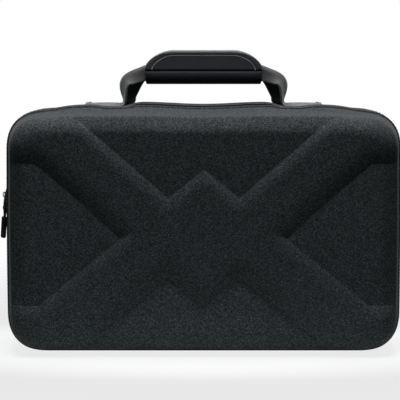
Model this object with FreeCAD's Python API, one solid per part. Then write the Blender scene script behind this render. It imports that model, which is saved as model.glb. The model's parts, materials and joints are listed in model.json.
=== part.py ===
import FreeCAD
import Part
import math
import os

# Console carrying bag: a hard case of two pressed foam halves, zipped round three sides.
# Millimetres. X points right, Y to the back and Z up. The floor is Z = 0 and the origin
# is the middle of the footprint. The front half swings down on a cloth hinge at the bottom.

# Case
CASE_WIDTH = 450.0  # across the zip
CASE_HEIGHT = 281.0  # floor to the top of the zip
LID_DEPTH = 70.0  # zip line to the front of the ribs
BASE_DEPTH = 100.0  # zip line to the back
CORNER_RADIUS = 46.0  # outline corners at the rims
WALL = 5.0  # pressed foam under the panels
RIM_GAP = 18.0  # between the two rims, bridged by the zip
RIM_BAND = 7.0  # depth of the pressed band along each rim
RIM_STEP = 2.0  # how far that band stands out from the walls
RIM_FOOT = 0.5  # the same under the rear half, which is what the case stands on
BACK_ROUND = 24.0  # rounding of the back edges

# Front relief
RIB_DRAFT = 4.0  # how far the ribbed wall leans in towards the front
PANEL_DRAFT = 8.0  # the same for the sunk panels
RELIEF = 5.0  # depth of the panels below the ribs
FRONT_ROUND = 22.0  # rounding of the front edges
RIB_ROLL = 18.0  # run of the rounded rib edges
RIB_DROP = 6.0  # centre of the X below half height
DIAMOND_HALF = 78.0  # half height of the diamond in the middle
NOTCH_X = 40.0  # notches above and below, from the middle
NOTCH_Z = 45.0  # and from the centre of the X
SIDE_NOTCH = 93.0  # inner corner of each side panel
RISE_UP = 0.90  # slope of the upper arms
RISE_DOWN = 0.82  # slope of the lower arms
CAP_TOP = 60.0  # height of the upper corner caps on the sides
CAP_BOTTOM = 59.0  # height of the lower corner caps

# Zip and cloth hinge
TAPE_INSET = 0.9  # rim face to the tape
TAPE = 1.2  # tape and hinge cloth
TAPE_LAP = 6.0  # how far the tape is sewn into each rim band
TEETH_GAP = 1.2  # between the two coils, where the sliders' posts run
TEETH_WIDTH = 2.6
TEETH_DEPTH = 2.8

# Sliders and pulls
LOWER_SLIDER_Z = 163.5
SLIDER_STEP = 15.0  # from the lower slider up to the upper one
SLIDER_LENGTH = 13.0
SLIDER_WIDTH = 10.0
SLIDER_NOSE = 7.6  # width of the closed end
SLIDER_PLATE = 1.5
SLIDER_PLAY = 0.3
POST = 0.6
POST_LENGTH = 5.0
BRIDGE_LENGTH = 6.8
BRIDGE_WIDTH = 1.6
BRIDGE_HEIGHT = 4.0
BRIDGE_BAR = 1.2
LINK_WIRE = 1.4
LINK_WIDTH = 7.8  # between the middles of the link's two sides
LINK_LENGTH = 13.0
LINK_LAP = 3.0  # length held in the tab
LINK_BEND = 1.3
TAB_LENGTH = 25.0
TAB_WIDTH = 10.2
TAB_THICKNESS = 3.0
TAB_ROUND = 2.5
PULL_FLARE = 4.0  # degrees, both pulls away from the case
PULL_SWING = 42.0  # degrees, upper pull towards the back

# Handle
HANDLE_SETBACK = 27.0  # rear rim to the middle of the strap
STRAP_WIDTH = 38.0
STRAP = 2.0
STRAP_SEAT = 40.0  # length sewn flat on the case
STRAP_HEM = 7.0  # end turned over
STRAP_SPREAD = 195.0  # between the two bends where the strap leaves the case
STRAP_BEND = 6.0
STRAP_LEAN = 110.0  # degrees, direction in which the strap leaves its bend
STRAP_BULGE = 34.0  # reach of the curve out of the bend
STRAP_ENTRY = 24.0  # reach of the curve into the grip
STRAP_CREST = 4.0  # radius of the lengthwise fold
GRIP_LENGTH = 131.0
GRIP_GAP = 25.5  # finger room under the grip
GRIP_HEIGHT = 38.5
GRIP_BELLY = 21.0  # thickness of the padded lower roll
GRIP_FLOOR = 2.5  # padding under the strap
GRIP_SHOULDER_Z = 27.0  # height where the two flaps meet
GRIP_FLAPS = 6.4  # both flaps together
GRIP_CORNER = 23.0
GRIP_PLAY = 0.3
BINDING_WIDTH = 4.6
BINDING = 0.9

# Inside
CONSOLE_STRAP_WIDTH = 40.0
CONSOLE_STRAP = 2.0
CONSOLE_STRAP_LENGTH = 200.0
CONSOLE_STRAP_SPACING = 180.0
POCKET_HEIGHT = 150.0  # floor to the net's upper edge
POCKET_SETBACK = 22.0  # front rim to the net
NET = 1.5
HEM_HEIGHT = 9.0
HEM = 3.5
SEWN_PLAY = 0.2

ZIP_Y = (LID_DEPTH - BASE_DEPTH) / 2
FRONT_RIM = ZIP_Y - RIM_GAP / 2
REAR_RIM = ZIP_Y + RIM_GAP / 2
FRONT_FACE = ZIP_Y - LID_DEPTH
PANEL_FACE = FRONT_FACE + RELIEF
BACK_FACE = ZIP_Y + BASE_DEPTH
BASE_TOP = CASE_HEIGHT - RIM_STEP
HINGE_HALF = CASE_WIDTH / 2 - CORNER_RADIUS
UPPER_SLIDER_Z = LOWER_SLIDER_Z + SLIDER_STEP
MARGIN = 2 * CORNER_RADIUS


def vec(x, y, z):
    return FreeCAD.Vector(x, y, z)


def block(x0, x1, y0, y1, z0, z1):
    return Part.makeBox(x1 - x0, y1 - y0, z1 - z0, vec(x0, y0, z0))


def ring(y, side, top, bottom):
    """Outline of the case in the plane y, moved in by side, top and bottom."""
    half = CASE_WIDTH / 2 - side
    high = CASE_HEIGHT - top
    r = CORNER_RADIUS - side
    k = r * (1 - math.sqrt(0.5))
    corners = []
    for sx, z, sz in ((1, bottom, 1), (1, high, -1), (-1, high, -1), (-1, bottom, 1)):
        flat = vec(sx * (half - r), y, z)
        middle = vec(sx * (half - k), y, z + sz * k)
        upright = vec(sx * half, y, z + sz * r)
        corners.append((flat, middle, upright) if sx * sz > 0 else (upright, middle, flat))
    edges = []
    for i, corner in enumerate(corners):
        edges.append(Part.Arc(*corner).toShape())
        edges.append(Part.makeLine(corner[2], corners[(i + 1) % 4][0]))
    return Part.Wire(edges)


def prism(wire, depth):
    return Part.Face(wire).extrude(vec(0, depth, 0))


def closed_solid(faces):
    shell = Part.Shell(faces)
    shell.sewShape()
    return Part.makeSolid(shell).removeSplitter()


def edges_at(solid, face_y):
    return [e for e in solid.Edges if all(abs(v.Y - face_y) < 1e-6 for v in e.Vertexes)]


def rounded(solid, face_y, radius):
    """Solid with the edges of its face in the plane face_y rounded."""
    return solid.makeFillet(radius, edges_at(solid, face_y))


def bevelled(solid, face_y, radius):
    """The same with flat bevels that touch the rounding, for the folded lining inside."""
    return solid.makeChamfer(radius * (2 - math.sqrt(2)), edges_at(solid, face_y))


def tapered(y0, inset0, y1, inset1):
    """Box between two outlines of the case: flat leaning sides and conical corners."""
    faces = [Part.Face(ring(y, i, i, i)) for y, i in ((y0, inset0), (y1, inset1))]
    cx = CASE_WIDTH / 2 - CORNER_RADIUS
    low, high = CORNER_RADIUS, CASE_HEIGHT - CORNER_RADIUS
    centres = ((cx, low), (cx, high), (-cx, high), (-cx, low))
    ways = ((0, -1), (1, 0), (0, 1), (-1, 0))

    def reach(centre, way, y, inset):
        r = CORNER_RADIUS - inset
        return vec(centre[0] + way[0] * r, y, centre[1] + way[1] * r)

    for i, centre in enumerate(centres):
        near, far = reach(centre, ways[i], y0, inset0), reach(centre, ways[i], y1, inset1)
        axis = vec(centre[0], 0, centre[1])
        faces.append(Part.makeLine(near, far).revolve(axis, vec(0, -1, 0), 90))
        last = centres[i - 1]
        corners = [reach(last, ways[i], y0, inset0), near, far, reach(last, ways[i], y1, inset1)]
        faces.append(Part.Face(Part.makePolygon(corners + corners[:1])))
    return closed_solid(faces)


def inset_polygon(points, inset):
    """Counter-clockwise polygon with every side moved in by the same amount."""
    moved = []
    for i, (x, z) in enumerate(points):
        x0, z0 = points[i - 1]
        x1, z1 = points[(i + 1) % len(points)]
        a = math.hypot(x - x0, z - z0)
        b = math.hypot(x1 - x, z1 - z)
        ax, az = (z0 - z) / a, (x - x0) / a
        bx, bz = (z - z1) / b, (x1 - x) / b
        k = inset / (1 + ax * bx + az * bz)
        moved.append((x + k * (ax + bx), z + k * (az + bz)))
    return moved


def layered_solid(levels):
    """Solid through similar polygons (x, z), each at its own y."""
    loops = [[vec(x, y, z) for x, z in points] for y, points in levels]
    faces = [Part.Face(Part.makePolygon(loop + loop[:1])) for loop in (loops[0], loops[-1])]
    for near, far in zip(loops, loops[1:]):
        for i in range(len(near)):
            j = (i + 1) % len(near)
            corners = [near[i], near[j], far[j], far[i], near[i]]
            faces.append(Part.Face(Part.makePolygon(corners)))
    return closed_solid(faces)


def rib_outline():
    """Foot of the X-shaped ribs, run out past the edges of the case."""
    centre = CASE_HEIGHT / 2 - RIB_DROP
    out = CASE_WIDTH / 2 + MARGIN
    roof = CASE_HEIGHT + MARGIN
    cap_top = CASE_HEIGHT - CAP_TOP
    right = [
        (0, centre - DIAMOND_HALF),
        (NOTCH_X, centre - NOTCH_Z),
        (NOTCH_X + (centre - NOTCH_Z + MARGIN) / RISE_DOWN, -MARGIN),
        (out, -MARGIN),
        (out, CAP_BOTTOM),
        (SIDE_NOTCH + (centre - CAP_BOTTOM) / RISE_DOWN, CAP_BOTTOM),
        (SIDE_NOTCH, centre),
        (SIDE_NOTCH + (cap_top - centre) / RISE_UP, cap_top),
        (out, cap_top),
        (out, roof),
        (NOTCH_X + (roof - centre - NOTCH_Z) / RISE_UP, roof),
        (NOTCH_X, centre + NOTCH_Z),
        (0, centre + DIAMOND_HALF),
    ]
    left = [(-x, z) for x, z in reversed(right[1:-1])]
    return right + left


def rim_slot(rim_y, into):
    """Groove in a rim that the zip tape and the hinge cloth are sewn into."""
    return loop_band(TAPE_INSET, TAPE, rim_y, into)


def loop_band(inset, thickness, y, depth):
    """Band of the given thickness that follows the outline of the case."""
    outer = prism(ring(y, inset, inset, inset), depth)
    far = inset + thickness
    return outer.cut(prism(ring(y, far, far, far), depth))


def zip_band(inset, thickness, y, depth):
    """The same band, left open along the hinge."""
    y0, y1 = sorted((y, y + depth))
    hinge = block(-HINGE_HALF, HINGE_HALF, y0, y1, 0, CORNER_RADIUS / 2)
    return loop_band(inset, thickness, y, depth).cut(hinge)


def lid_cavity():
    """Inside of the front half."""
    side = RIM_STEP + WALL
    face_y = PANEL_FACE + WALL
    box = tapered(FRONT_RIM, side, face_y, side + PANEL_DRAFT)
    return bevelled(box, face_y, FRONT_ROUND - WALL)


def front_shell():
    proud = tapered(FRONT_RIM, RIM_STEP, FRONT_FACE, RIM_STEP + RIB_DRAFT)
    proud = rounded(proud, FRONT_FACE, FRONT_ROUND)
    panels = tapered(FRONT_RIM, RIM_STEP, PANEL_FACE, RIM_STEP + PANEL_DRAFT)
    panels = rounded(panels, PANEL_FACE, FRONT_ROUND)
    foot = rib_outline()
    levels = [(FRONT_RIM, foot), (PANEL_FACE, foot)]
    for height in (0.45, 0.75, 0.93, 1.0):
        run = RIB_ROLL * (1 - math.sqrt(1 - height**2))
        levels.append((PANEL_FACE - RELIEF * height, inset_polygon(foot, run)))
    ribs = proud.common(layered_solid(levels))
    band = prism(ring(FRONT_RIM, 0, 0, 0), -RIM_BAND)
    shell = panels.fuse(ribs).fuse(band)
    return shell.cut(lid_cavity()).cut(rim_slot(FRONT_RIM, -TAPE_LAP)).removeSplitter()


def rear_shell():
    depth = BACK_FACE - REAR_RIM
    outer = prism(ring(REAR_RIM, RIM_STEP, RIM_STEP, RIM_FOOT), depth)
    outer = rounded(outer, BACK_FACE, BACK_ROUND)
    side = RIM_STEP + WALL
    inner = prism(ring(REAR_RIM, side, side, RIM_FOOT + WALL), depth - WALL)
    inner = bevelled(inner, BACK_FACE - WALL, BACK_ROUND - WALL)
    band = prism(ring(REAR_RIM, 0, 0, 0), RIM_BAND)
    shell = outer.fuse(band).cut(inner)
    return shell.cut(rim_slot(REAR_RIM, TAPE_LAP)).removeSplitter()


def hinge_strip():
    y0, y1 = FRONT_RIM - TAPE_LAP, REAR_RIM + TAPE_LAP
    return block(-HINGE_HALF, HINGE_HALF, y0, y1, TAPE_INSET, TAPE_INSET + TAPE)


def zip_half(side):
    """Tape and coil of one half: side is -1 in front and 1 behind."""
    start = TEETH_GAP / 2 + TEETH_WIDTH
    tape_y = ZIP_Y + side * start
    tape = zip_band(TAPE_INSET, TAPE, tape_y, side * (RIM_GAP / 2 + TAPE_LAP - start))
    teeth = zip_band(0, TEETH_DEPTH, ZIP_Y + side * TEETH_GAP / 2, side * TEETH_WIDTH)
    return tape, teeth


def slider_plate(x, z, up):
    """One plate of a slider, wide at the mouth: up is 1 with the mouth on top."""
    mouth, nose = SLIDER_WIDTH / 2, SLIDER_NOSE / 2
    top, low = z + up * SLIDER_LENGTH / 2, z - up * SLIDER_LENGTH / 2
    outline = [(-mouth, top), (mouth, top), (mouth, z), (nose, low), (-nose, low), (-mouth, z)]
    points = [vec(x, ZIP_Y + y, height) for y, height in outline]
    plate = Part.Face(Part.makePolygon(points + points[:1])).extrude(vec(SLIDER_PLATE, 0, 0))
    upright = [e for e in plate.Edges if e.Length == min(s.Length for s in plate.Edges)]
    return plate.makeChamfer(SLIDER_PLATE / 2, upright)


def slider(z, up):
    outer_x = -CASE_WIDTH / 2 - SLIDER_PLAY - SLIDER_PLATE
    inner_x = -CASE_WIDTH / 2 + TEETH_DEPTH + SLIDER_PLAY
    body = slider_plate(outer_x, z, up).fuse(slider_plate(inner_x, z, up))
    mouth = z + up * SLIDER_LENGTH / 2
    z0, z1 = sorted((mouth, mouth - up * POST_LENGTH))
    body = body.fuse(block(outer_x, inner_x, ZIP_Y - POST / 2, ZIP_Y + POST / 2, z0, z1))
    y0, y1 = ZIP_Y - BRIDGE_WIDTH / 2, ZIP_Y + BRIDGE_WIDTH / 2
    half = BRIDGE_LENGTH / 2
    arch = block(outer_x - BRIDGE_HEIGHT, outer_x, y0, y1, z - half, z + half)
    crown = [e for e in arch.Edges if all(v.X < outer_x - 1e-6 for v in e.Vertexes)]
    crown = [e for e in crown if abs(e.Vertexes[0].Z - e.Vertexes[1].Z) < 1e-6]
    arch = arch.makeFillet(2 * BRIDGE_BAR, crown)
    eye = block(outer_x - BRIDGE_HEIGHT + BRIDGE_BAR, outer_x, y0, y1,
                z - half + BRIDGE_BAR, z + half - BRIDGE_BAR)
    return body.fuse(arch.cut(eye)).removeSplitter()


def pull(z, flare, swing):
    """Stamped link and moulded tab that hang in the bridge of the slider at height z."""
    room = BRIDGE_HEIGHT - BRIDGE_BAR
    pivot = vec(-CASE_WIDTH / 2 - SLIDER_PLAY - SLIDER_PLATE - room / 2, ZIP_Y, z)

    def plate(width, top, foot, thickness):
        size = (thickness, width, foot - top)
        return Part.makeBox(*size, pivot + vec(-thickness / 2, -width / 2, -foot))

    def across(shape):
        return [e for e in shape.Edges if abs(e.Vertexes[0].X - e.Vertexes[-1].X) > 1e-6]

    bar = LINK_WIRE / 2
    frame = plate(LINK_WIDTH + LINK_WIRE, -bar, LINK_LENGTH, LINK_WIRE)
    frame = frame.makeFillet(LINK_BEND, across(frame))
    link = frame.cut(plate(LINK_WIDTH - LINK_WIRE, bar, LINK_LENGTH - LINK_WIRE, LINK_WIRE))
    head = LINK_LENGTH - LINK_LAP
    tab = plate(TAB_WIDTH, head, head + TAB_LENGTH, TAB_THICKNESS)
    tab = tab.makeFillet(TAB_ROUND, across(tab)).cut(link)
    for piece in (link, tab):
        piece.rotate(pivot, vec(0, 1, 0), flare)
        piece.rotate(pivot, vec(1, 0, 0), swing)
    return link, tab


def strap_section(x, z, heading, fold):
    """Cross-section of the strap, bent lengthwise by fold degrees on each side."""
    turn = math.radians(fold)
    bent = STRAP_CREST * math.pi / 2
    spots = [0, bent / 2, bent, STRAP_WIDTH / 2]
    half = []
    for s in spots:
        inside = min(s, bent)
        angle = turn * inside / bent
        across, down = inside, 0
        if turn > 0:
            across = bent / turn * math.sin(angle)
            down = bent / turn * (1 - math.cos(angle))
        across += (s - inside) * math.cos(angle)
        down += (s - inside) * math.sin(angle)
        half.append((across, down, angle))
    rows = [(-across, down, -angle) for across, down, angle in reversed(half[1:])] + half
    tilt = math.radians(heading)
    loop = []
    for lift, order in ((STRAP / 2, rows), (-STRAP / 2, rows[::-1])):
        for across, down, angle in order:
            y = REAR_RIM + HANDLE_SETBACK + across + lift * math.sin(angle)
            up = lift * math.cos(angle) - down
            loop.append(vec(x - up * math.sin(tilt), y, z + up * math.cos(tilt)))
    return loop


def crest_z():
    """Height of the strap's folded crest inside the grip."""
    leg = STRAP_CREST + STRAP_WIDTH / 2 - STRAP_CREST * math.pi / 2
    return BASE_TOP + GRIP_GAP + GRIP_FLOOR + GRIP_PLAY + leg


def strap_stations():
    """Place, direction and fold of the strap from its left end to the grip."""
    seat_z = BASE_TOP + STRAP / 2
    bend_x = -STRAP_SPREAD / 2
    stations = [(bend_x - STRAP_SEAT, seat_z, 0, 0)]
    for share in (0, 0.33, 0.67, 1):
        heading = STRAP_LEAN * share
        turn = math.radians(heading)
        x = bend_x + STRAP_BEND * math.sin(turn)
        z = seat_z + STRAP_BEND * (1 - math.cos(turn))
        stations.append((x, z, heading, 0))
    turn = math.radians(STRAP_LEAN)
    start = stations[-1][:2]
    goal = (-GRIP_LENGTH / 2, crest_z())
    lead = (start[0] + STRAP_BULGE * math.cos(turn), start[1] + STRAP_BULGE * math.sin(turn))
    trail = (goal[0] - STRAP_ENTRY, goal[1])
    for step in range(1, 7):
        t = step / 6
        u = 1 - t
        weights = (u**3, 3 * u * u * t, 3 * u * t * t, t**3)
        slopes = (-3 * u * u, 3 * u * u - 6 * u * t, 6 * u * t - 3 * t * t, 3 * t * t)
        hull = (start, lead, trail, goal)
        x = sum(w * p[0] for w, p in zip(weights, hull))
        z = sum(w * p[1] for w, p in zip(weights, hull))
        dx = sum(w * p[0] for w, p in zip(slopes, hull))
        dz = sum(w * p[1] for w, p in zip(slopes, hull))
        stations.append((x, z, math.degrees(math.atan2(dz, dx)), 90 * t * t * (3 - 2 * t)))
    return stations


def handle_webbing():
    loops = [strap_section(*station) for station in strap_stations()]
    loops += [[vec(-p.x, p.y, p.z) for p in loop] for loop in reversed(loops)]
    faces = [Part.Face(Part.makePolygon(loop + loop[:1])) for loop in (loops[0], loops[-1])]
    for near, far in zip(loops, loops[1:]):
        for i, corner in enumerate(near):
            j = (i + 1) % len(near)
            faces.append(Part.Face(Part.makePolygon([corner, near[j], far[j], corner])))
            faces.append(Part.Face(Part.makePolygon([corner, far[j], far[i], corner])))
    strap = closed_solid(faces)
    end = STRAP_SPREAD / 2 + STRAP_SEAT
    middle = REAR_RIM + HANDLE_SETBACK
    y0, y1 = middle - STRAP_WIDTH / 2, middle + STRAP_WIDTH / 2
    z0, z1 = BASE_TOP + STRAP, BASE_TOP + 2 * STRAP
    strap = strap.fuse(block(-end, STRAP_HEM - end, y0, y1, z0, z1))
    return strap.fuse(block(end - STRAP_HEM, end, y0, y1, z0, z1)).removeSplitter()


def grip_outline(inset, y):
    """Outline of the grip seen from the front, with its two upper corners rounded."""
    half = GRIP_LENGTH / 2 - inset
    low = BASE_TOP + GRIP_GAP
    high = low + GRIP_HEIGHT - inset
    r = GRIP_CORNER - inset
    k = r * (1 - math.sqrt(0.5))
    return Part.Wire([
        Part.makeLine(vec(-half, y, low), vec(half, y, low)),
        Part.makeLine(vec(half, y, low), vec(half, y, high - r)),
        Part.Arc(vec(half, y, high - r), vec(half - k, y, high - k),
                 vec(half - r, y, high)).toShape(),
        Part.makeLine(vec(half - r, y, high), vec(r - half, y, high)),
        Part.Arc(vec(r - half, y, high), vec(k - half, y, high - k),
                 vec(-half, y, high - r)).toShape(),
        Part.makeLine(vec(-half, y, high - r), vec(-half, y, low)),
    ])


def grip_profile(x):
    """Section of the folded wrap: a padded roll below, leaning in to two flaps above."""
    middle = REAR_RIM + HANDLE_SETBACK
    low = BASE_TOP + GRIP_GAP
    r, flap = GRIP_BELLY / 2, GRIP_FLAPS / 2
    rise = GRIP_SHOULDER_Z - r
    reach = math.hypot(flap, rise)
    turn = math.atan2(rise, flap) - math.acos(r / reach)
    lean = (r * math.cos(turn), r + r * math.sin(turn))

    def at(y, z):
        return vec(x, middle + y, low + z)

    roll = Part.Arc(at(-lean[0], lean[1]), at(0, 0), at(*lean)).toShape()
    points = [at(*lean), at(flap, GRIP_SHOULDER_Z), at(flap, GRIP_HEIGHT),
              at(-flap, GRIP_HEIGHT), at(-flap, GRIP_SHOULDER_Z), at(-lean[0], lean[1])]
    return Part.Wire([roll] + Part.makePolygon(points).Edges)


def strap_tunnel():
    """Room for the folded strap inside the grip."""
    middle = REAR_RIM + HANDLE_SETBACK
    reach = STRAP_CREST + STRAP / 2 + GRIP_PLAY
    centre = crest_z() - STRAP_CREST
    foot = BASE_TOP + GRIP_GAP + GRIP_FLOOR
    half = GRIP_LENGTH / 2
    slot = block(-half, half, middle - reach, middle + reach, foot, centre)
    crown = Part.makeCylinder(reach, 2 * half, vec(-half, middle, centre), vec(1, 0, 0))
    core = STRAP_CREST - STRAP / 2 - GRIP_PLAY
    tongue = block(-half, half, middle - core, middle + core, foot, centre)
    tip = Part.makeCylinder(core, 2 * half, vec(-half, middle, centre), vec(1, 0, 0))
    return slot.fuse(crown).cut(tongue.fuse(tip)).removeSplitter()


def grip():
    """Padded wrap and the tape bound round its curved upper edge."""
    half = GRIP_LENGTH / 2
    middle = REAR_RIM + HANDLE_SETBACK
    wrap = Part.Face(grip_profile(-half)).extrude(vec(GRIP_LENGTH, 0, 0))
    front = middle - GRIP_BELLY
    wrap = wrap.common(prism(grip_outline(BINDING, front), 2 * GRIP_BELLY))
    thick = GRIP_FLAPS / 2 + BINDING
    outer = prism(grip_outline(0, middle - thick), 2 * thick)
    inner = prism(grip_outline(BINDING_WIDTH, middle - thick), 2 * thick)
    above = BASE_TOP + GRIP_GAP + GRIP_SHOULDER_Z
    room = block(-half, half, front, front + 2 * GRIP_BELLY, above, above + GRIP_HEIGHT)
    binding = outer.cut(inner).common(room).cut(wrap)
    return wrap.cut(strap_tunnel()).removeSplitter(), binding.removeSplitter()


def console_strap(side):
    x = side * CONSOLE_STRAP_SPACING / 2
    wall = BACK_FACE - WALL
    z0 = (CASE_HEIGHT - CONSOLE_STRAP_LENGTH) / 2
    half = CONSOLE_STRAP_WIDTH / 2
    return block(x - half, x + half, wall - CONSOLE_STRAP, wall, z0, z0 + CONSOLE_STRAP_LENGTH)


def pocket_slab(thickness, z0, z1):
    """Slice across the inside of the front half at the net, between two heights."""
    y = FRONT_RIM - POCKET_SETBACK - thickness / 2
    share = (FRONT_RIM - y) / (FRONT_RIM - PANEL_FACE - WALL)
    side = RIM_STEP + WALL + SEWN_PLAY + PANEL_DRAFT * share
    slab = prism(ring(y, side, side, side), thickness)
    return slab.common(block(-CASE_WIDTH, CASE_WIDTH, y, y + thickness, z0, z1))


def pocket():
    """Net across the lower part of the front half, with a hem along its upper edge."""
    net = pocket_slab(NET, 0, POCKET_HEIGHT)
    hem = pocket_slab(HEM, POCKET_HEIGHT + NET - HEM_HEIGHT, POCKET_HEIGHT + NET)
    return net, hem.cut(net)


front_tape, front_teeth = zip_half(-1)
rear_tape, rear_teeth = zip_half(1)
upper_link, upper_tab = pull(UPPER_SLIDER_Z, PULL_FLARE, PULL_SWING)
lower_link, lower_tab = pull(LOWER_SLIDER_Z, PULL_FLARE, 0)
grip_pad, grip_binding = grip()
net_pocket, pocket_hem = pocket()

pieces = {
    "front_shell": front_shell(),
    "rear_shell": rear_shell(),
    "front_zip_tape": front_tape,
    "rear_zip_tape": rear_tape,
    "front_zip_teeth": front_teeth,
    "rear_zip_teeth": rear_teeth,
    "hinge_strip": hinge_strip(),
    "upper_slider": slider(UPPER_SLIDER_Z, -1),
    "lower_slider": slider(LOWER_SLIDER_Z, 1),
    "upper_pull_link": upper_link,
    "lower_pull_link": lower_link,
    "upper_pull_tab": upper_tab,
    "lower_pull_tab": lower_tab,
    "handle_webbing": handle_webbing(),
    "grip_pad": grip_pad,
    "grip_binding": grip_binding,
    "left_console_strap": console_strap(-1),
    "right_console_strap": console_strap(1),
    "net_pocket": net_pocket,
    "pocket_hem": pocket_hem,
}

os.makedirs("parts", exist_ok=True)
for name, shape in pieces.items():
    solid = shape.Solids[0] if len(shape.Solids) == 1 else shape
    solid.exportStep(f"parts/{name}.step")
    box = solid.BoundBox
    print(f"{name}: {len(shape.Solids)} solid, valid {solid.isValid()}, {solid.Volume / 1000:.2f} cm3, "
          f"x {box.XMin:.1f} {box.XMax:.1f}, y {box.YMin:.1f} {box.YMax:.1f}, "
          f"z {box.ZMin:.1f} {box.ZMax:.1f}")
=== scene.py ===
# %% [markdown]
# # A hard-shell carrying bag for a game console
#
# The bag is two pressed foam halves covered in black cloth. A zip joins them round three sides,
# a cloth hinge joins them along the bottom, and a padded grip sits on a strap on top.
# The imported model gives the sizes, the places and the moving bodies. Every piece made here
# is laid over one of its solids, and all but the hinge cloth ride on that solid's body.

# %% Load the imported model
import json
import math

import bmesh
import bpy
import numpy as np
from mathutils import Matrix, Vector


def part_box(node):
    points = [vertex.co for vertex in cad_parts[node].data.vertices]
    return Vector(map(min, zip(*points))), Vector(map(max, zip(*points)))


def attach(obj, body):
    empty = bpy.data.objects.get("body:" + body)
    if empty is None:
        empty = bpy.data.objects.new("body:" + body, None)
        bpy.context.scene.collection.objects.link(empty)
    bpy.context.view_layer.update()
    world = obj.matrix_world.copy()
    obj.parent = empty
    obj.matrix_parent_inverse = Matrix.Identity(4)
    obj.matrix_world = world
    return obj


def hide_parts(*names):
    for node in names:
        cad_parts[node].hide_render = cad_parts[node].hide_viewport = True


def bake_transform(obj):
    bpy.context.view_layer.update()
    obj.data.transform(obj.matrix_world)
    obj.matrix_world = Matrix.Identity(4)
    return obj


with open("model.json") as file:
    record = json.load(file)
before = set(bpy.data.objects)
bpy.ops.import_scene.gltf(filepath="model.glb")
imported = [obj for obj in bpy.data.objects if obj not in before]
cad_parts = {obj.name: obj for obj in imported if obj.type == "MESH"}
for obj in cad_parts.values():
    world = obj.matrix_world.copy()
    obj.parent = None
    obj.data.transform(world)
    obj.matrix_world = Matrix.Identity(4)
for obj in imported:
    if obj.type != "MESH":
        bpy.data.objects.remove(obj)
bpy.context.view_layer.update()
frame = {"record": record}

# %% [markdown]
# ## Measures of the case
#
# The outline of the case is a rectangle with round corners. All its layers, from the rim to the
# front face, share the same four corner centres, so one number, the inset from the rim, is enough
# to say where a layer runs. That keeps shells, zip and lining on the same line.

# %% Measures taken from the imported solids
MM = 0.001
front_low, front_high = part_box("front_shell")
rear_low, rear_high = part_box("rear_shell")
half_width = rear_high.x
case_height = rear_high.z
front_face_y = front_low.y
front_rim_y = front_high.y
rear_rim_y = rear_low.y
back_face_y = rear_high.y
zip_y = (front_rim_y + rear_rim_y) / 2
corner_radius = 46 * MM
core_x = half_width - corner_radius
core_low = corner_radius
core_high = case_height - corner_radius
print(f"case {2000 * half_width:.0f} x {1000 * case_height:.0f} mm, zip line at y {1000 * zip_y:.0f} mm")


# %% How a point lies on the case
def outward(x, z):
    """Core point below a point of the outline, and the way out from it."""
    core = Vector((min(max(x, -core_x), core_x), 0, min(max(z, core_low), core_high)))
    way = Vector((x, 0, z)) - core
    return core, (way.normalized() if way.length > 1e-9 else way)


def clamp(value):
    return min(max(value, 0), 1)


def smooth(low, high, value):
    t = clamp((value - low) / (high - low))
    return t * t * (3 - 2 * t)


# %% [markdown]
# ## Softness
#
# Cloth over foam never keeps a ruler's edge. The top of the real case dips between the handle's
# ends and falls away towards the corners. The rims stand up along the zip, except beside
# the handle's feet, where the strap pulls them flat, and the zip itself bulges between the feet.
# The sides draw in a little towards the top and the bottom. One function moves every point
# of every piece by the same rule, so nothing comes apart.

# %% Shape of the top
top_dip, crest_x = 1.5 * MM, 100 * MM
shoulder_drop, shoulder_x = 4 * MM, (130 * MM, 185 * MM)
seat_rise, seat_middle, seat_spread = 1.2 * MM, 112 * MM, 50 * MM
seat_y = (rear_rim_y + 6 * MM, rear_rim_y + 26 * MM)
crown, back_crown, seat_crown = 0.5 * MM, 1.0 * MM, 1.0 * MM
rim_lift, middle_lift, full_lift_x = 2.4 * MM, 0.45, 60 * MM
lift_end_x = (150 * MM, 195 * MM)
lift_front_y = (front_rim_y - 30 * MM, front_rim_y - 2 * MM)
lift_back_y = (rear_rim_y, rear_rim_y + 12 * MM)
press_x, press_share, press_reach = 100 * MM, 0.75, (10 * MM, 24 * MM)
zip_bulge, bulge_x = 2.8 * MM, (68 * MM, 96 * MM)
bulge_end_y = (rear_rim_y + 4 * MM, rear_rim_y + 44 * MM)


def top_shape(across, y):
    """How much higher the top lies at this place than on a perfectly moulded case."""
    dip = top_dip * (1 - smooth(0, crest_x, across))
    drop = shoulder_drop * smooth(*shoulder_x, across)
    seat = 1 - smooth(0, seat_spread, abs(across - seat_middle))
    back = smooth(*seat_y, y)
    behind = smooth(front_rim_y, seat_y[0], y)
    rise = seat_rise * seat * back - (back_crown + seat_crown * seat) * (1 - back) - crown * (1 - behind)
    lift = rim_lift * (middle_lift + (1 - middle_lift) * smooth(0, full_lift_x, across))
    lift *= 1 - smooth(*lift_end_x, across)
    lift *= smooth(*lift_front_y, y) * (1 - smooth(*lift_back_y, y))
    lift *= 1 - press_share * (1 - smooth(*press_reach, abs(across - press_x)))
    over = clamp((y - front_rim_y) / (rear_rim_y - front_rim_y))
    bulge = zip_bulge * (1 - smooth(*bulge_x, across)) * (1 - (1 - over) ** 3)
    bulge *= 1 - smooth(*bulge_end_y, y)
    return rise + lift + bulge - dip - drop


# %% One rule for all pieces
top_zone, side_zone = 0.62, 0.55
fade_out = (5 * MM, 35 * MM)
side_bow = 1.0 * MM
corner_fill = 3 * MM


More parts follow.
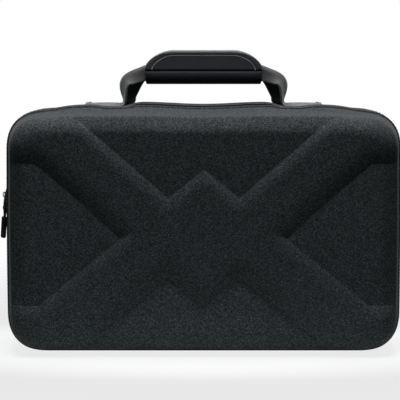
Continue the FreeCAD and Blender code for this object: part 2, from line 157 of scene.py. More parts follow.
def soften(point):
    """Where a point of the perfectly moulded case lies on the used one."""
    x, y, z = point
    upper = smooth(top_zone * case_height, case_height, min(z, case_height))
    upper *= 1 - smooth(*fade_out, z - case_height)
    lean = min((2 * z / case_height - 1) ** 2, 1)
    bow = math.copysign(side_bow * lean * smooth(side_zone * half_width, half_width, abs(x)), x)
    core, way = outward(x, z)
    reach = min((Vector((x, 0, z)) - core).length / corner_radius, 1)
    full = way * (corner_fill * reach * (2 * way.x * way.z) ** 2)
    return Vector((x - bow, y, z + top_shape(abs(x), y) * upper)) + full


# %% [markdown]
# ## From bmesh to object
#
# Each piece is shaped in a bmesh and then handed to one helper, which turns its faces outwards,
# smooths their shading, makes the object, gives it its finishes and ties it to a body of the model.
# Pieces that lie on the case are softened with it.

# %% Finish a piece
def to_mesh(bm, name):
    mesh = bpy.data.meshes.new(name)
    bm.to_mesh(mesh)
    bm.free()
    return mesh


def add_object(name, data):
    made = bpy.data.objects.new(name, data)
    bpy.context.scene.collection.objects.link(made)
    return made


def make_piece(bm, name, materials, body=None, stands_for=(), slot=None, soft=False):
    bmesh.ops.recalc_face_normals(bm, faces=bm.faces)
    for face in bm.faces:
        face.smooth = True
    if soft:
        for v in bm.verts:
            v.co = soften(v.co)
    piece = add_object(name, to_mesh(bm, name))
    for material in materials:
        piece.data.materials.append(material)
    if body:
        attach(piece, body)
    if stands_for:
        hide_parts(*stands_for)
    print(f"{name}: {len(piece.data.polygons)} faces")
    return piece


# %% [markdown]
# ## Finishes
#
# The face cloth is a tight black weave with paler fibres in it, so from a step away it
# sparkles in single grains. A Voronoi texture gives each thread crossing its own shade, a second,
# finer noise breaks the grains up, and both raise a small bump. Object coordinates keep
# the grain at its real size on every piece.

# %% A small kit for shader nodes
def feed(node, inputs):
    """Set inputs of a node, each to a value or to another node's output."""
    for key, value in inputs.items():
        if isinstance(value, bpy.types.NodeSocket):
            node.id_data.links.new(value, node.inputs[key])
        else:
            node.inputs[key].default_value = value
    return node


def add_node(tree, kind, inputs, **settings):
    node = tree.nodes.new("ShaderNode" + kind)
    for key, value in settings.items():
        setattr(node, key, value)
    return feed(node, inputs)


def combine(tree, operation, *values):
    return add_node(tree, "Math", dict(enumerate(values)), operation=operation).outputs[0]


def scaled(tree, colour, factor):
    return add_node(tree, "VectorMath", {0: colour, "Scale": factor}, operation="SCALE").outputs[0]


def ranged(tree, value, source, target):
    """The value, carried smoothly from one range into another."""
    names = ("Value", "From Min", "From Max", "To Min", "To Max")
    inputs = dict(zip(names, (value, *source, *target)))
    return add_node(tree, "MapRange", inputs, interpolation_type="SMOOTHSTEP").outputs["Result"]


# %% Textures and materials
def noise(tree, scale, place, detail=2.0):
    return add_node(tree, "TexNoise", {"Scale": scale, "Vector": place, "Detail": detail}).outputs["Fac"]


def bands(tree, pitch, axis, place, **values):
    """Soft bands, pitch metres apart along one axis."""
    inputs = {"Scale": math.pi / 10 / pitch, "Vector": place, **values}
    return add_node(tree, "TexWave", inputs, bands_direction=axis).outputs["Fac"]


def ramp(tree, factor, stops):
    node = add_node(tree, "ValToRGB", {"Fac": factor})
    while len(node.color_ramp.elements) < len(stops):
        node.color_ramp.elements.new(0.5)
    for element, (place, colour) in zip(node.color_ramp.elements, stops):
        element.position = place
        element.color = (*colour, 1)
    return node.outputs["Color"]


def dress(shader, colour, height, depth, strength, roughness, shine=0.5, sheen=0.0):
    """Give a shader its colour, its gloss and a bump that is depth metres high."""
    inputs = {"Height": height, "Distance": depth, "Strength": strength}
    bump = add_node(shader.id_data, "Bump", inputs)
    feed(shader, {"Base Color": colour, "Roughness": roughness, "Specular IOR Level": shine,
                  "Sheen Weight": sheen, "Normal": bump.outputs["Normal"]})


def new_material(name, space="Object"):
    """New material with its node tree, its shader and its texture coordinates."""
    material = bpy.data.materials.new(name)
    material.use_nodes = True
    tree = material.node_tree
    place = add_node(tree, "TexCoord", {}).outputs[space]
    return material, tree, tree.nodes["Principled BSDF"], place


# %% Face cloth
def face_cloth(name, dark, mid, pale, grain):
    """Woven cloth whose thread crossings differ in shade: grain is their size in metres."""
    material, tree, shader, place = new_material(name)
    cells = add_node(tree, "TexVoronoi", {"Scale": 1 / grain, "Vector": place}).outputs["Color"]
    crossings = add_node(tree, "SeparateColor", {"Color": cells}).outputs["Red"]
    fibres = combine(tree, "MULTIPLY", noise(tree, 2.4 / grain, place), 0.3)
    weave = combine(tree, "MULTIPLY_ADD", crossings, 0.7, fibres)
    colour = ramp(tree, weave, [(0.1, dark), (0.5, mid), (0.92, pale)])
    dress(shader, colour, weave, 0.25 * grain, 0.6, roughness=0.85, shine=0.25, sheen=0.05)
    return material


cloth = face_cloth("shell_cloth", (0.0081, 0.0090, 0.0102), (0.0268, 0.0293, 0.0332),
                   (0.102, 0.111, 0.125), 0.8 * MM)
lining_cloth = face_cloth("lining_cloth", (0.016, 0.017, 0.018), (0.024, 0.025, 0.027),
                          (0.036, 0.038, 0.04), 0.6 * MM)
print("cloth finishes ready")

# %% [markdown]
# ## The ribs of the front
#
# The front is pressed into an X of raised ribs with a diamond at the crossing. Every rib edge is
# a soft roll that ends in a sharp crease at the sunk panel. The creases are one closed line of
# straight runs, so the relief can be worked out from the distance to that line alone.

# %% The crease line
rib_drop = 6 * MM
diamond_half = 78 * MM
notch_x, notch_z = 40 * MM, 45 * MM
side_notch = 93 * MM
rise_up, rise_down = 0.90, 0.82
cap_top, cap_bottom = 60 * MM, 59 * MM
beyond = 2 * corner_radius


def crease_line():
    """Foot of the ribs as points (x, z), counter-clockwise, run out past the case."""
    centre = case_height / 2 - rib_drop
    out, roof = half_width + beyond, case_height + beyond
    shelf = case_height - cap_top
    right = [
        (0, centre - diamond_half),
        (notch_x, centre - notch_z),
        (notch_x + (centre - notch_z + beyond) / rise_down, -beyond),
        (out, -beyond),
        (out, cap_bottom),
        (side_notch + (centre - cap_bottom) / rise_down, cap_bottom),
        (side_notch, centre),
        (side_notch + (shelf - centre) / rise_up, shelf),
        (out, shelf),
        (out, roof),
        (notch_x + (roof - centre - notch_z) / rise_up, roof),
        (notch_x, centre + notch_z),
        (0, centre + diamond_half),
    ]
    return np.array(right + [(-x, z) for x, z in reversed(right[1:-1])])


crease = crease_line()
crease_runs = list(zip(crease, np.roll(crease, -1, axis=0)))
print(f"crease line of {len(crease_runs)} straight runs")


# %% Distance to the crease
def rib_depth(points):
    """How far inside the ribs each point (x, z) lies: 0 on the crease, negative in the panels."""
    nearest = np.full(len(points), np.inf)
    inside = np.zeros(len(points), bool)
    for a, b in crease_runs:
        run = b - a
        share = np.clip(((points - a) @ run) / (run @ run), 0, 1)
        nearest = np.minimum(nearest, np.linalg.norm(points - a - share[:, None] * run, axis=1))
        crosses = (a[1] > points[:, 1]) != (b[1] > points[:, 1])
        with np.errstate(divide="ignore", invalid="ignore"):
            x = a[0] + (points[:, 1] - a[1]) * run[0] / run[1]
        inside ^= crosses & (points[:, 0] < x)
    return np.where(inside, nearest, -nearest)


# %% [markdown]
# ## A pressed half
#
# Each half starts as a flat grid, which becomes the big face. Its corners are drawn in to
# the round outline. Then the border edges are extruded ring by ring: over the rolled edge, down the
# wall, round the rim band and back along the inside. Extruding keeps one clean loop of edges all
# the way, so the shell is a single closed skin and the lining starts exactly at the rim.

# %% Flat face with round corners
corner_zone = 60 * MM


def flat_face(inset, y, spacing):
    """Grid in the plane y that fills the outline at this inset."""
    half_x, half_z = half_width - inset, case_height / 2 - inset
    bm = bmesh.new()
    bmesh.ops.create_grid(bm, x_segments=round(2 * half_x / spacing),
                          y_segments=round(2 * half_z / spacing), size=1)
    radius = (corner_radius - inset) / corner_zone
    for v in bm.verts:
        x, z = v.co.x * half_x, v.co.y * half_z
        u = (abs(x) - half_x + corner_zone) / corner_zone
        w = (abs(z) - half_z + corner_zone) / corner_zone
        if u > 0 and w > 0:
            most = max(u, w)
            side = min(u, w) / most
            scale = 1.0
            if side > 1 - radius:
                b = (1 - radius) * (1 + side)
                a = 1 + side * side
                c = 2 * (1 - radius) ** 2 - radius ** 2
                scale = (b + math.sqrt(b * b - a * c)) / a
            pull = 1 + most ** 2 * (scale - 1)
            x = math.copysign(half_x - corner_zone + u * pull * corner_zone, x)
            z = math.copysign(half_z - corner_zone + w * pull * corner_zone, z)
        v.co = (x, y, case_height / 2 + z)
    return bm


# %% Grow a wall from the border
def only(geometry, kind):
    return [g for g in geometry if isinstance(g, kind)]


def whole(bm):
    return bm.verts[:] + bm.edges[:] + bm.faces[:]


def border_of(bm):
    return [e for e in bm.edges if e.is_boundary]


def grow(bm, border, inset, y, material=0):
    """Extrude the border loop to the outline at this inset and depth."""
    made = bmesh.ops.extrude_edge_only(bm, edges=border)["geom"]
    for v in only(made, bmesh.types.BMVert):
        core, way = outward(v.co.x, v.co.z)
        v.co = core + way * (corner_radius - inset)
        v.co.y = y
    for face in only(made, bmesh.types.BMFace):
        face.material_index = material
    return [e for e in only(made, bmesh.types.BMEdge) if e.is_boundary]


# %% Outside: rolled edge, wall and rim band
rim_band = 7 * MM
rim_step = 2 * MM
band_round = 0.9 * MM
band_gap, band_tuck, band_rise = 0.4 * MM, 0.1 * MM, 0.3 * MM


def shell_profile(face_y, rim_y, face_inset, roll, steps):
    """Insets and depths from the face over the rolled edge and the wall to the rim."""
    way = 1 if rim_y > face_y else -1
    wall_inset = face_inset - roll
    profile = []
    for i in range(1, steps + 1):
        turn = math.pi / 2 * i / steps
        profile.append((face_inset - roll * math.sin(turn), face_y + way * roll * (1 - math.cos(turn))))
    start, stop = face_y + way * roll, rim_y - way * (rim_band + band_gap)
    for i in range(1, steps + 1):
        share = i / steps
        profile.append((wall_inset + share * (rim_step - wall_inset), start + share * (stop - start)))
    band = rim_y - way * rim_band
    profile.append((rim_step - band_rise, band - way * band_tuck))
    for y, side in ((band, 1), (rim_y, -1)):
        for i in range(4):
            turn = math.pi / 2 * (i / 3 if side > 0 else 1 - i / 3)
            depth = side * band_round * (1 - math.cos(turn))
            profile.append((band_round * (1 - math.sin(turn)), y + way * depth))
    return profile


# %% Inside: rim face and lining
wall = 5 * MM
rim_face = wall + rim_step
rim_bevel = 0.6 * MM
wall_rings, roll_rings = 4, 6


def line_shell(bm, rim_y, foot_inset, floor_y, roll):
    """Close a half with its lining, from the rim down to a flat floor with a rolled edge."""
    way = 1 if floor_y > rim_y else -1
    ring = grow(bm, border_of(bm), rim_face - rim_bevel, rim_y)
    ring = grow(bm, ring, rim_face, rim_y + way * rim_bevel, 1)
    for i in range(1, wall_rings + 1):
        share = i / wall_rings
        y = rim_y + share * (floor_y - way * roll - rim_y)
        ring = grow(bm, ring, rim_face + share * (foot_inset - rim_face), y, 1)
    for i in range(1, roll_rings + 1):
        turn = math.pi / 2 * i / roll_rings
        y = floor_y - way * roll * (1 - math.sin(turn))
        ring = grow(bm, ring, foot_inset + roll * (1 - math.cos(turn)), y, 1)
    bmesh.ops.contextual_create(bm, geom=ring, mat_nr=1)


# %% [markdown]
# ## The front half
#
# The relief goes in before the lining: the mesh is first cut along the creases with
# bisect planes, so that each crease has its own row of vertices, and then every vertex in a panel is
# moved from the ribs' profile to the panels' one. The panels lean out a little away from the creases
# and have a shallow groove along them. On the walls the relief fades out at the rim band.

# %% Front half: face, wall and creases
front_inset = 28 * MM
front_roll = 22 * MM
front_grid = 1.5 * MM

shell = flat_face(front_inset, front_face_y, front_grid)
bmesh.ops.recalc_face_normals(shell, faces=shell.faces)
ring = border_of(shell)
for inset, y in shell_profile(front_face_y, front_rim_y, front_inset, front_roll, 12):
    ring = grow(shell, ring, inset, y)
for a, b in crease_runs:
    bmesh.ops.bisect_plane(shell, geom=whole(shell), dist=2e-5, plane_co=(a[0], 0, a[1]),
                           plane_no=(a[1] - b[1], 0, b[0] - a[0]))
print(f"front half before the relief: {len(shell.faces)} faces")

# %% Profile of the sunk panels
relief = 5 * MM
panel_y = front_face_y + relief
panel_flat = 26 * MM
panel_edge = 8 * MM
edge_lift, edge_power = 7.8 * MM, 1.4
band_y = front_rim_y - rim_band


def panel_point(inset, y):
    """Where a point of the ribbed profile lies on the sunk panels, whose wall ends in a crease."""
    if inset >= panel_edge:
        share = max(panel_flat - inset, 0) / (panel_flat - panel_edge)
        return inset, panel_y + edge_lift * share**edge_power
    y = max(y, panel_y + edge_lift)
    back = clamp((band_y - y) / (band_y - panel_y - edge_lift))
    return rim_step + (panel_edge - rim_step) * back, y


# %% Front half: press the panels in
rib_run, under_run = 20 * MM, 28 * MM
rib_power, under_power = 3.0, 2.2
under_turn = (-0.3, 0.6)
low_zone = (90 * MM, 150 * MM)
panel_rise, low_rise, rise_run = 2.6 * MM, 3.0 * MM, 90 * MM
groove, under_groove, low_groove = 0.2 * MM, 1.6 * MM, 2.2 * MM
groove_run, low_run = 14 * MM, 22 * MM


def press_panels(bm):
    """Push the panels in: the rib edges roll down to a groove, longer and deeper on their undersides."""
    points = np.array([(v.co.x, v.co.z) for v in bm.verts])
    depths = rib_depth(points)
    rises = (rib_depth(points + (0, MM)) - depths) / MM
    for v, depth, rise in zip(bm.verts, depths.tolist(), rises.tolist()):
        if v.co.y > band_y:
            continue
        core, way = outward(v.co.x, v.co.z)
        inset = corner_radius - (Vector((v.co.x, 0, v.co.z)) - core).length
        sunk_inset, sunk_y = panel_point(inset, v.co.y)
        under = smooth(*under_turn, rise)
        run = rib_run + (under_run - rib_run) * under
        power = rib_power + (under_power - rib_power) * under
        sunk = (1 - clamp(depth / run)) ** power
        v.co += (way * (inset - sunk_inset) + Vector((0, sunk_y - v.co.y, 0))) * sunk
        flat = smooth(panel_edge, panel_flat, inset)
        low = 1 - smooth(*low_zone, v.co.z)
        v.co.y -= (panel_rise + low_rise * low) * clamp(-depth / rise_run) * flat
        near = (1 - clamp(-depth / (groove_run + low_run * low))) ** (2 + low)
        v.co.y += (groove + (under_groove + low_groove * low - groove) * under) * near * sunk * flat


press_panels(shell)
print(f"panels pressed {1000 * relief:.0f} mm deep")

# %% Front half: lining
lid_floor_y = panel_y + wall + under_groove
line_shell(shell, front_rim_y, rim_face + panel_edge, lid_floor_y, front_roll - wall)
bmesh.ops.triangulate(shell, faces=[f for f in shell.faces if len(f.verts) > 4])
make_piece(shell, "front_half", [cloth, lining_cloth], "lid", ["front_shell"], "shell_cloth", soft=True)

# %% [markdown]
# ## The rear half
#
# The rear half has the same build without the ribs: a plain back with a soft edge, straight walls
# and the same band along its rim. Its back is hardly ever seen, so the grid is coarser.

# %% Rear half
back_roll = 24 * MM
back_inset = rim_step + back_roll
back_grid = 5 * MM
shell = flat_face(back_inset, back_face_y, back_grid)
ring = border_of(shell)
for inset, y in shell_profile(back_face_y, rear_rim_y, back_inset, back_roll, 10):
    ring = grow(shell, ring, inset, y)
line_shell(shell, rear_rim_y, rim_face, back_face_y - wall, back_roll - wall)
make_piece(shell, "rear_half", [cloth, lining_cloth], "base", ["rear_shell"], "shell_cloth", soft=True)

# %% [markdown]
# ## The zip line
#
# The zip runs from the left end of the hinge up, over the top and down to its right end. One
# function walks that line and gives the place and the directions at any length along it. The
# tapes, the coils and the stitches on the rim bands are all laid along it.

# %% Walk along the zip line
arc_length = math.pi / 2 * corner_radius
side_length = core_high - core_low
zip_runs = [
    ("arc", arc_length, (-core_x, core_low), 270),
    ("line", side_length, (-core_x, core_low), 180),
    ("arc", arc_length, (-core_x, core_high), 180),
    ("line", 2 * core_x, (-core_x, core_high), 90),
    ("arc", arc_length, (core_x, core_high), 90),
    ("line", side_length, (core_x, core_high), 0),
    ("arc", arc_length, (core_x, core_low), 0),
]
zip_length = sum(run[1] for run in zip_runs)


def along_zip(s, inset=0.0):
    """Point at the length s along the zip line, with the way along it and the way out."""
    s = min(s, zip_length - 1e-9)
    for kind, length, (x, z), start in zip_runs:
        if s <= length:
            break
        s -= length
    turn = math.radians(start - (90 * s / length if kind == "arc" else 0))
    way = Vector((math.cos(turn), 0, math.sin(turn)))
    along = Vector((way.z, 0, -way.x))
    point = Vector((x, 0, z)) + way * (corner_radius - inset)
    if kind == "line":
        point += along * s
    return point, along, way


print(f"zip line of {1000 * zip_length:.0f} mm")


# %% Skin through rows of points
def loft(bm, rows, closed=False):
    """Extrude a row of edges from each row of points to the next: closed rows give a tube."""
    row = [bm.verts.new(point) for point in rows[0]]
    pairs = list(zip(row, row[1:]))
    if closed:
        pairs.append((row[-1], row[0]))
    edges = [bm.edges.new(pair) for pair in pairs]
    made_rows = [row]
    for points in rows[1:]:
        made = bmesh.ops.extrude_edge_only(bm, edges=edges)["geom"]
        fresh = set(only(made, bmesh.types.BMVert))
        edges = [e for e in only(made, bmesh.types.BMEdge) if set(e.verts) <= fresh]
        row = [next(e.other_vert(v) for e in v.link_edges if e.other_vert(v) in fresh) for v in row]
        for v, point in zip(row, points):
            v.co = point
        made_rows.append(row)
    return made_rows


def tube(bm, rows):
    """Closed rows with both ends filled: returns the corners."""
    made_rows = loft(bm, rows, closed=True)
    bmesh.ops.holes_fill(bm, edges=border_of(bm), sides=0)
    return [v for row in made_rows for v in row]


def thicken(bm, thickness, up):
    """Turn an open skin into a closed one of this thickness, half of it on each side."""
    bmesh.ops.recalc_face_normals(bm, faces=bm.faces)
    bm.faces.ensure_lookup_table()
    if bm.faces[0].normal.dot(up) < 0:
        bmesh.ops.reverse_faces(bm, faces=bm.faces)
    bm.normal_update()
    for v in bm.verts:
        v.co += v.normal * thickness / 2
    bmesh.ops.solidify(bm, geom=bm.faces[:], thickness=thickness)


# %% Lay small beads along a line
def placed(point, along, across, out, size):
    """Matrix that sets a bead at a point, with its three radii along three directions."""
    columns = (along * size[0], across * size[1], out * size[2])
    matrix = Matrix(columns).transposed().to_4x4()
    matrix.translation = point
    return matrix


def bead_piece(name, places, material, *ties, segments=6, rings=4, soft=True):
    """Piece of many small balls, each stretched into a stitch or a turn of a coil."""
    ball = bmesh.new()
    bmesh.ops.create_uvsphere(ball, u_segments=segments, v_segments=rings, radius=1)
    bead = to_mesh(ball, "bead")
    bm = bmesh.new()
    for matrix in places:
        have = len(bm.verts)
        bm.from_mesh(bead)
        bm.verts.ensure_lookup_table()
        bmesh.ops.transform(bm, matrix=matrix, verts=bm.verts[have:])
    make_piece(bm, name, [material], *ties, soft=soft)


# %% [markdown]
# ## Tape, coil and thread
#
# The zip tape is a narrow dull weave with ribs along it. It is coloured nearly black, partly its own
# colour and partly painted shade for the deep groove of the zip. The coils are drawn nylon, a little
# shinier and uneven in gloss where the slider has worn them. The sewing thread is paler than the
# cloth, which is why the seams can be seen at all on a black bag.

# %% Tape and nylon finishes
def woven_tape(name, dark, pale, rib, axis, shine=0.3):
    """Narrow woven tape with fine ribs, rib metres apart along one object axis."""
    material, tree, shader, place = new_material(name)
    ribs = bands(tree, rib, axis, place, Distortion=1.5, Detail=2.0)
    weave = combine(tree, "MULTIPLY", ribs, noise(tree, 1600, place))
    colour = ramp(tree, weave, [(0.1, dark), (0.5, pale)])
    dress(shader, colour, weave, 0.15 * MM, 0.7, roughness=0.75, shine=shine)
    return material


def dull_nylon(name, colour, roughness):
    """Moulded or drawn nylon: an even colour with a faint unevenness in its gloss."""
    material, tree, shader, place = new_material(name)
    patches = noise(tree, 900, place, 3.0)
    dark, pale = (tuple(share * c for c in colour) for share in (0.8, 1.2))
    shade = ramp(tree, patches, [(0.3, dark), (0.7, pale)])
    limits = {"To Min": roughness - 0.06, "To Max": roughness + 0.06}
    gloss = add_node(tree, "MapRange", {"Value": patches, **limits}).outputs["Result"]
    dress(shader, shade, patches, 0.05 * MM, 0.3, gloss)
    return material


# The zip tape's near-black colour is partly painted shade for the groove it lies in; the hinge strip shares
# it.
tape_cloth = woven_tape("zip_tape", (0.0012, 0.0012, 0.0014), (0.0045, 0.0046, 0.005), 0.9 * MM, "Y", 0.04)
coil_nylon = dull_nylon("zip_teeth", (0.034, 0.037, 0.041), 0.42)
thread = dull_nylon("sewing_thread", (0.05, 0.052, 0.056), 0.6)
print("zip finishes ready")

# %% [markdown]
# ## The zip
#
# Each tape is a strip that starts under the rim band and ends at the coil. Its rows of points
# follow the zip line, so it bends round the corners with the case. The coil turns are flattened
# beads, one row on each tape, half a pitch apart so that they mesh.

# %% Zip tapes
tape_inset = 1.5 * MM
tape_thick = 1.2 * MM
tape_lap = 4.5 * MM
tape_bend = 1.5 * MM
coil_reach = 3.2 * MM
tape_step = 5 * MM
halves = (("front", -1, front_rim_y, "lid"), ("rear", 1, rear_rim_y, "base"))


def zip_tape(name, side, rim_y, body):
    """Strip from the coil to under the rim band: side is -1 in front and 1 behind."""
    count = round(zip_length / tape_step)
    line = [along_zip(zip_length * i / count, tape_inset)[0] for i in range(count + 1)]
    depths = [zip_y + side * 0.5 * coil_reach, zip_y + side * coil_reach,
              rim_y - side * tape_bend, rim_y + side * tape_lap]
    bm = bmesh.new()
    loft(bm, [[Vector((p.x, y, p.z)) for p in line] for y in depths])
    thicken(bm, tape_thick, Vector((0, 0, -1)))
    tape = make_piece(bm, f"{name}_tape", [tape_cloth], body, [f"{name}_zip_tape"], "zip_tape", soft=True)


for half in halves:
    zip_tape(*half)

# %% Zip coils
coil_pitch = 2.2 * MM
coil_split = 0.35 * MM
coil_inset = 1.2 * MM
coil_half = (coil_reach - coil_split) / 2
coil_size = (0.85 * MM, coil_half, 1.15 * MM)
to_back, to_top = Vector((0, 1, 0)), Vector((0, 0, 1))


def zip_row(y, pitch, size, phase=0.5, inset=0.0):
    """Places of beads along the zip line at the depth y: phase shifts the row by a share of its pitch."""
    places = []
    for i in range(int(zip_length / pitch)):
        point, along, way = along_zip((i + phase) * pitch, inset)
        point.y = y
        places.append(placed(point, along, to_back, way, size))
    return places


for name, side, rim_y, body in halves:
    y = zip_y + side * (coil_split + coil_half)
    turns = zip_row(y, coil_pitch, coil_size, 0.5 + 0.25 * side, coil_inset)
    bead_piece(f"{name}_coil", turns, coil_nylon, body, [f"{name}_zip_teeth"], "zip_teeth",
               segments=8, rings=6)

# %% Stitches along the rim bands
stitch_pitch = 4.2 * MM
stitch_size = (1.6 * MM, 0.35 * MM, 0.3 * MM)
stitch_line = 0.62 * rim_band

for name, side, rim_y, body in halves:
    places = zip_row(rim_y + side * stitch_line, stitch_pitch, stitch_size)
    bead_piece(f"{name}_rim_stitches", places, thread, body)

# %% [markdown]
# ## The cloth hinge
#
# Along the bottom a strip of the same tape joins the two rims. It is the only piece that
# belongs to both halves, so it has many rows and is tied to neither body.

# %% Hinge strip
hinge_low, hinge_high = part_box("hinge_strip")
hinge_size = hinge_high - hinge_low
hinge_z = (hinge_low.z + hinge_high.z) / 2
bm = bmesh.new()
bmesh.ops.create_grid(bm, x_segments=60, y_segments=40, size=0.5)
bmesh.ops.scale(bm, verts=bm.verts, vec=(hinge_size.x, hinge_size.y, 1))
bmesh.ops.translate(bm, verts=bm.verts, vec=(0, (hinge_low.y + hinge_high.y) / 2, hinge_z))
thicken(bm, hinge_size.z, to_top)
hinge_cloth = make_piece(bm, "hinge_cloth", [tape_cloth], None, ["hinge_strip"], "zip_tape")
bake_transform(hinge_cloth)

# %% [markdown]
# ## The strap of the handle
#
# The strap is one length of ribbed webbing. Each end is sewn flat on the case, turns up sharply,
# bulges outwards and folds along its middle before it goes into the grip. Its far edge runs
# straight to the grip, which twists the webbing a little. A row of edges is extruded from station
# to station along that path, and each station says how far the webbing is folded. A UV map in
# metres lets the ribs follow every bend, and the sewn ends get a painted sheen, a paler colour.

# %% Measures of the strap
strap_low, strap_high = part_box("handle_webbing")
strap_width = 38 * MM
strap_thick = 2 * MM
seat_length = 40 * MM
bend_x = strap_high.x - seat_length
bend_radius = 5 * MM
strap_lean = math.radians(112)
strap_entry = math.radians(25)
bulge_reach, entry_reach = 32 * MM, 19 * MM
fold_radius = 4 * MM
first_fold, full_fold, fold_power = math.radians(12), math.pi / 2, 0.75
far_shift = 10 * MM
roll_half = 68.3 * MM
strap_y = (strap_low.y + strap_high.y) / 2
seat_z = strap_low.z + strap_thick / 2
crest_z = strap_high.z
seat_steps, bend_steps, rise_steps, grip_steps = 8, 8, 24, 4


# %% Row of points across the strap
def strap_row(station, shares):
    """Points across the webbing at one station: share is -1 and 1 at its edges."""
    x, z, heading, fold, shift, far = station
    bent = fold_radius * math.pi / 2
    row = []
    for share in shares:
        s = abs(share) * strap_width / 2
        inside = min(s, bent)
        angle = fold * inside / bent
        across, down = inside, 0.0
        if fold > 1e-6:
            across = bent / fold * math.sin(angle)
            down = bent / fold * (1 - math.cos(angle))
        across += (s - inside) * math.cos(angle)
        down += (s - inside) * math.sin(angle)
        inward = down * math.sin(heading) + shift * max(share, 0)
        row.append(Vector((x + inward, strap_y + math.copysign(across, share),
                           z - down * math.cos(heading))))
    if far:
        drawn = far - row[-1]
        row = [point + max(share, 0) * drawn for point, share in zip(row, shares)]
    return row


# %% Path of the strap
def strap_path():
    """Stations (x, z, heading, fold, shift, far edge) of the strap's left side, from its end inwards."""
    stations = []
    for i in range(seat_steps):
        t = i / seat_steps
        stations.append((-bend_x - seat_length * (1 - t), seat_z, 0.0, 0.0, far_shift * t**2, None))
    for i in range(bend_steps + 1):
        t = i / bend_steps
        turn = strap_lean * t
        x, z = -bend_x + bend_radius * math.sin(turn), seat_z + bend_radius * (1 - math.cos(turn))
        stations.append((x, z, turn, first_fold * t, far_shift, None))
    far_start = strap_row(stations[-1], [1.0])[0]
    far_end = strap_row((-roll_half, crest_z, 0.0, full_fold, 0.0, None), [1.0])[0]
    start = Vector(stations[-1][:2])
    goal = Vector((-roll_half, crest_z))
    lead = start + bulge_reach * Vector((math.cos(strap_lean), math.sin(strap_lean)))
    trail = goal - entry_reach * Vector((math.cos(strap_entry), math.sin(strap_entry)))
    for i in range(1, rise_steps + 1):
        t = i / rise_steps
        u = 1 - t
        place = u**3 * start + 3 * u * u * t * lead + 3 * u * t * t * trail + t**3 * goal
        slope = u * u * (lead - start) + 2 * u * t * (trail - lead) + t * t * (goal - trail)
        fold = first_fold + (full_fold - first_fold) * t**fold_power
        heading = math.atan2(slope.y, slope.x)
        stations.append((place.x, place.y, heading, fold, 0.0, far_start.lerp(far_end, t)))
    for i in range(1, grip_steps + 1):
        stations.append((-roll_half * (1 - i / grip_steps), crest_z, 0.0, full_fold, 0.0, None))
    return stations


# %% Webbing finish
# The seats and turned ends are painted several times paler than the rest: a painted sheen for the top light
# they catch.
painted_sheen_reach, painted_sheen_gain = (0.9 * seat_length, 1.1 * seat_length), 3.6


def ribbed_webbing(name, dark, pale):
    """Webbing with ribs along it and fine cross threads on its UV map; the seats get a painted sheen, a
    paler colour for the light they catch.
    """
    material, tree, shader, place = new_material(name, "UV")
    ribs = bands(tree, 2.4 * MM, "Y", place)
    threads = bands(tree, 1.1 * MM, "X", place, Distortion=0.6)
    weave = combine(tree, "MULTIPLY_ADD", ribs, threads, noise(tree, 1100, place))
    length = add_node(tree, "SeparateXYZ", {"Vector": place}).outputs["X"]
    # Painted sheen: near the ends of the strap, measured along its length, the colour is scaled up.
    painted_sheen = ranged(tree, length, painted_sheen_reach, (painted_sheen_gain, 1.0))
    colour = scaled(tree, ramp(tree, weave, [(0.3, dark), (1.0, pale)]), painted_sheen)
    dress(shader, colour, weave, 0.2 * MM, 0.5, roughness=0.62, shine=0.4, sheen=0.35)
    return material


webbing_cloth = ribbed_webbing("webbing", (0.013, 0.0138, 0.0148), (0.058, 0.061, 0.065))


# %% Strap
def map_by(bm, place):
    """UV map in metres: place gives U, along the webbing, and V, across it, for a vertex."""
    layer = bm.loops.layers.uv.new("UVMap")
    for face in bm.faces:
        for loop in face.loops:
            loop[layer].uv = place(loop.vert)


def handle_strap():
    shares = [i / 10 - 1 for i in range(21)]
    stations = strap_path()
    lengths = [0.0]
    for before, after in zip(stations, stations[1:]):
        lengths.append(lengths[-1] + math.hypot(after[0] - before[0], after[1] - before[1]))
    bm = bmesh.new()
    rows = loft(bm, [strap_row(station, shares) for station in stations])
    places = {v: (length, share * strap_width / 2)
              for row, length in zip(rows, lengths) for v, share in zip(row, shares)}
    map_by(bm, places.get)
    bmesh.ops.mirror(bm, geom=whole(bm), axis="X", merge_dist=1e-6)
    bmesh.ops.remove_doubles(bm, verts=bm.verts, dist=1e-6)
    thicken(bm, strap_thick, to_top)
    strap = make_piece(bm, "handle_strap", [webbing_cloth], "base", ["handle_webbing"], "webbing", soft=True)


handle_strap()

# %% [markdown]
# ## The ends of the strap
#
# Each end of the webbing is turned over once and sewn down with a box of stitches and a cross.
# The turned end is a low rounded bar, and the stitches are small stretched beads of thread.

# %% Turned ends
hem_length, hem_thick, hem_round = 7 * MM, 1.4 * MM, 0.6 * MM
hem_z = strap_low.z + 1.25 * strap_thick


def round_edges(bm, edges, offset, segments):
    bmesh.ops.bevel(bm, geom=edges, offset=offset, segments=segments, profile=0.5,
                    affect="EDGES", material=-1)


def add_block(bm, centre, size, offset, segments):
    """Add a box with rounded edges to a mesh."""
    corners = bmesh.ops.create_cube(bm, size=1)["verts"]
    bmesh.ops.scale(bm, verts=corners, vec=size)
    bmesh.ops.translate(bm, verts=corners, vec=centre)
    round_edges(bm, [e for e in bm.edges if e.verts[0] in corners], offset, segments)


def turned_end(name, side):
    bm = bmesh.new()
    middle = (side * (strap_high.x - hem_length / 2), strap_y, hem_z)
    add_block(bm, middle, (hem_length, strap_width - hem_round, hem_thick), hem_round, 3)
    # The UV length from the end puts the whole turned end inside the painted sheen of the seats.
    map_by(bm, lambda v: (strap_high.x - abs(v.co.x), v.co.y))
    make_piece(bm, name, [webbing_cloth], "base", (), "webbing", soft=True)


turned_end("left_strap_end", -1)
turned_end("right_strap_end", 1)

